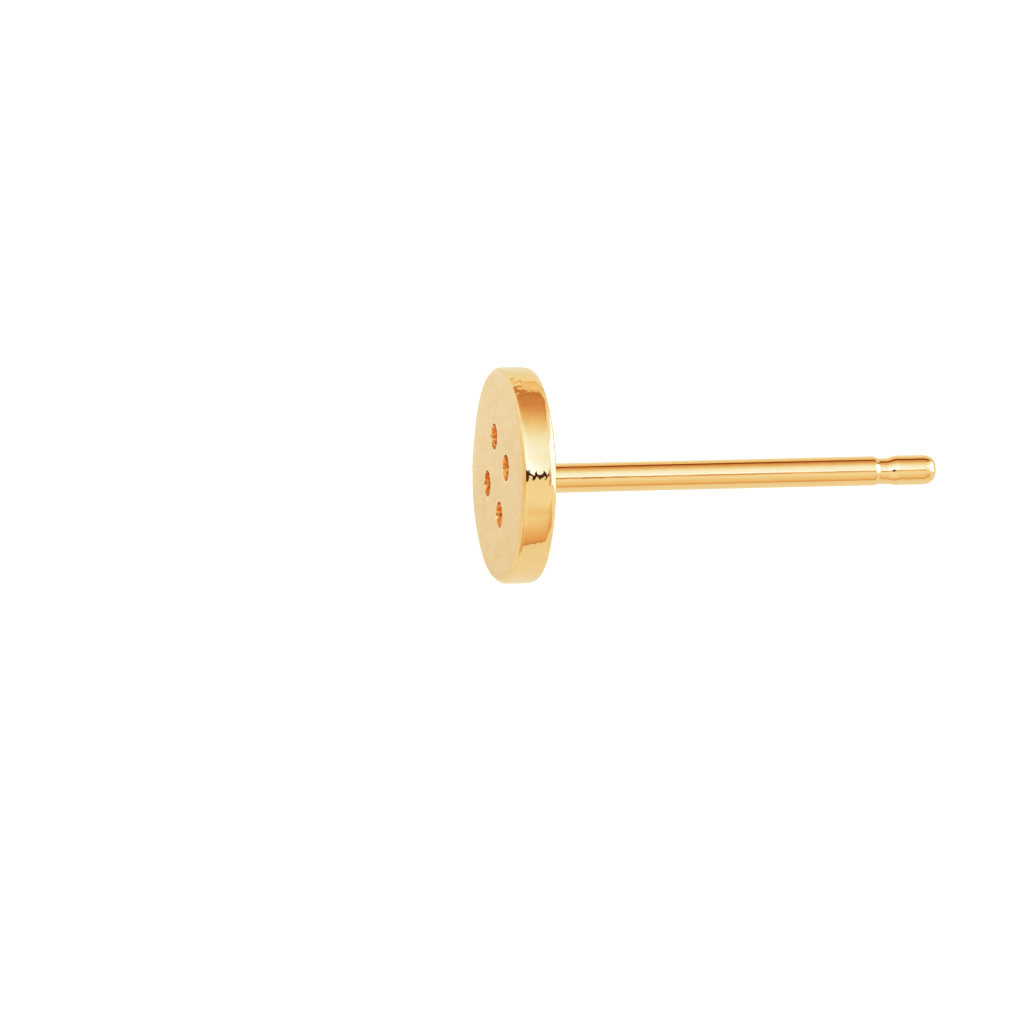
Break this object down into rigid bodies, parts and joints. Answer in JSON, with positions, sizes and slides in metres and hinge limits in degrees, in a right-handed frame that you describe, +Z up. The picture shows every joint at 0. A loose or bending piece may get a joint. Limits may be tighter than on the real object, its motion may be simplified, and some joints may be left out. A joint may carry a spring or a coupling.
{
  "type": "button stud earring",
  "caption": "Stud earring whose front is a flat round disc with thread holes, like a sewing button, on a plain ear post with a friction notch.",
  "frame": {"origin": "on the surface that the stud lies on, under the middle of its box", "axes": "+X along the stud towards the tip of the post, +Z up, away from the surface that it lies on"},
  "size_m": [0.0128, 0.006, 0.006],
  "materials": {
    "gold": "polished yellow gold, satin-fine on the face and warmer inside the thread holes"
  },
  "bodies": {
    "root": {"button_stud": "gold"}
  },
  "joints": []
}
